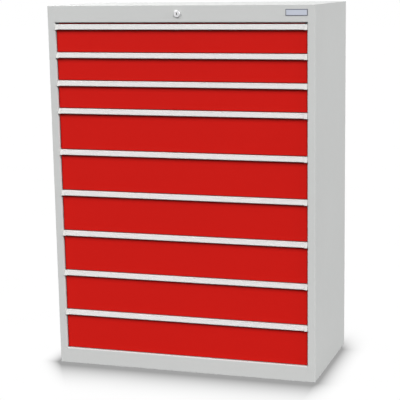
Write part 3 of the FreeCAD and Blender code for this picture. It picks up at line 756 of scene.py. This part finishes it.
def add_end_wall(shape, half_width, wall, span_z, crest):
    """Front or back wall of a tray between its side walls, with the points of its crest."""
    low, high = span_z
    heights = (low + TRAY_SHEET, low + SLOT_MARGIN_LOW, high - SLOT_MARGIN_HIGH)
    path = [(wall, height) for height in heights] + crest
    inside = half_width - TRAY_SHEET
    stations = slot_stations(-inside, inside)
    add_sheet(shape, path, stations, along_x, TRAY_SHEET, slot_cells(1, stations))


def add_tray(number, materials):
    """Slotted tray of one drawer, in place of its plain node."""
    node = "drawer_box_%d" % number
    body = "drawer_%d" % number
    low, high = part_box(node)
    half_width = high.x - RAIL_FLANGE
    span_y = (low.y, high.y - TRAY_SHEET)
    span_z = (low.z, high.z)
    front, back = span_y[0] + TRAY_SHEET / 2, span_y[1] - TRAY_SHEET / 2
    shape = bmesh.new()
    add_sides(shape, half_width, span_y, span_z)
    add_end_wall(shape, half_width, front, span_z, [(front, high.z)])
    add_end_wall(shape, half_width, back, span_z, hem(back, high.z))
    tray = new_piece("%s_tray" % body, shape, materials["drawer_paint"], body)
    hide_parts(node)


def add_catch(shape, leg, low, high):
    """Lock catch: an angle whose leg lies beside the left hem and whose flange points left."""
    near = low.y + CATCH_SETBACK + RAIL_SHEET / 2
    path = [(leg, near + CATCH_LEG)]
    path += arc((leg - RAIL_BEND, near + RAIL_BEND), RAIL_BEND, 0, -90, BEND_STEPS)
    path.append((low.x, near))
    heights = (high.z - CATCH_LOW, high.z - CATCH_HIGH)
    add_sheet(shape, path, heights, along_z, RAIL_SHEET)


def add_slides(number, materials):
    """Inner slide members and lock catch of one drawer, in place of its plain node."""
    node = "drawer_box_%d" % number
    body = "drawer_%d" % number
    low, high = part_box(node)
    side = high.x - RAIL_FLANGE
    height = low.z + RAIL_ABOVE_BOTTOM
    reach = RAIL_HALF_HEIGHT - RAIL_SHEET / 2
    turn = side + RAIL_SHEET / 2 + RAIL_BEND
    right = [(high.x, height - reach)]
    right += arc((turn, height - reach + RAIL_BEND), RAIL_BEND, 270, 180, BEND_STEPS)
    right += arc((turn, height + reach - RAIL_BEND), RAIL_BEND, 180, 90, BEND_STEPS)
    right.append((high.x, height + reach))
    ends = (low.y + RAIL_SETBACK, high.y - TRAY_SHEET)
    shape = bmesh.new()
    for outward in (-1, 1):
        path = [(outward * across, up) for across, up in right]
        add_sheet(shape, path, ends, along_y, RAIL_SHEET)
    add_catch(shape, -side - TRAY_SHEET - RAIL_SHEET / 2, low, high)
    slides = new_piece("%s_rails" % body, shape, materials["bright_steel"], body)
    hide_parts(node)


def add_label(number, materials):
    """Paper insert and clear film in the channel of one handle strip."""
    body = "drawer_%d" % number
    strip_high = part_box("handle_strip_%d" % number)[1]
    carcass_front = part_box("head_rail")[0].y
    end = strip_high.x - CAP_WIDTH - CAP_GAP
    slope = math.hypot(STRIP_HEIGHT, STRIP_SLOPE_REACH)
    up = Vector((0, STRIP_SLOPE_REACH, STRIP_HEIGHT)) / slope
    inward = Vector((0, up.z, -up.y))
    top_edge = Vector((0, carcass_front + STRIP_TOP_SETBACK, strip_high.z))
    for name, depth, thickness in (
        ("label_card", CARD_DEPTH, CARD_THICKNESS),
        ("label_film", FILM_DEPTH, FILM_THICKNESS),
    ):
        path = []
        for down in spread(LABEL_MARGIN, slope - LABEL_MARGIN, LABEL_ROWS):
            point = top_edge - up * down + inward * (depth - thickness / 2)
            path.append((point.y, point.z))
        shape = bmesh.new()
        add_sheet(shape, path, spread(-end, end, LABEL_COLUMNS), along_x, thickness)
        new_piece("%s_%s" % (body, name), shape, materials[name], body)


def add_rivet(shape, x, z, face):
    """Dimpled rivet head in a shape, on a face at a place along Y."""
    rings = []
    for share, rise in RIVET_PROFILE:
        circle = arc((x, z), RIVET_RADIUS * share, 0, 360, RIVET_SIDES)[:-1]
        out = face + RIVET_RISE * rise
        rings.append([shape.verts.new((across, out, up)) for across, up in circle])
    shape.faces.new(rings[0])
    shape.faces.new(rings[-1])
    for inner, outer in zip(rings, rings[1:]):
        for k in range(RIVET_SIDES):
            shape.faces.new((inner[k - 1], inner[k], outer[k], outer[k - 1]))


def add_rivets(materials):
    """Blind rivets that hold the back panel to the sides, the top and the base."""
    low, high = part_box("back_panel")
    across = spread(low.x + RIVET_EDGE, high.x - RIVET_EDGE, RIVET_COLUMNS - 1)
    up = spread(low.z + RIVET_EDGE, high.z - RIVET_EDGE, RIVET_ROWS - 1)
    places = [(x, z) for x in across for z in (up[0], up[-1])]
    places += [(x, z) for z in up[1:-1] for x in (across[0], across[-1])]
    shape = bmesh.new()
    for x, z in places:
        add_rivet(shape, x, z, high.y)
    new_piece("back_rivets", shape, materials["bright_steel"], "carcass")


bpy.context.scene.view_settings.view_transform = "Standard"
add_camera()
add_world()
add_floor()
for sun, facts in SUNS.items():
    add_sun(sun, **facts)
finishes = all_materials()
dress_nodes(finishes)
for drawer in DRAWERS:
    add_tray(drawer, finishes)
    add_slides(drawer, finishes)
    add_label(drawer, finishes)
add_rivets(finishes)
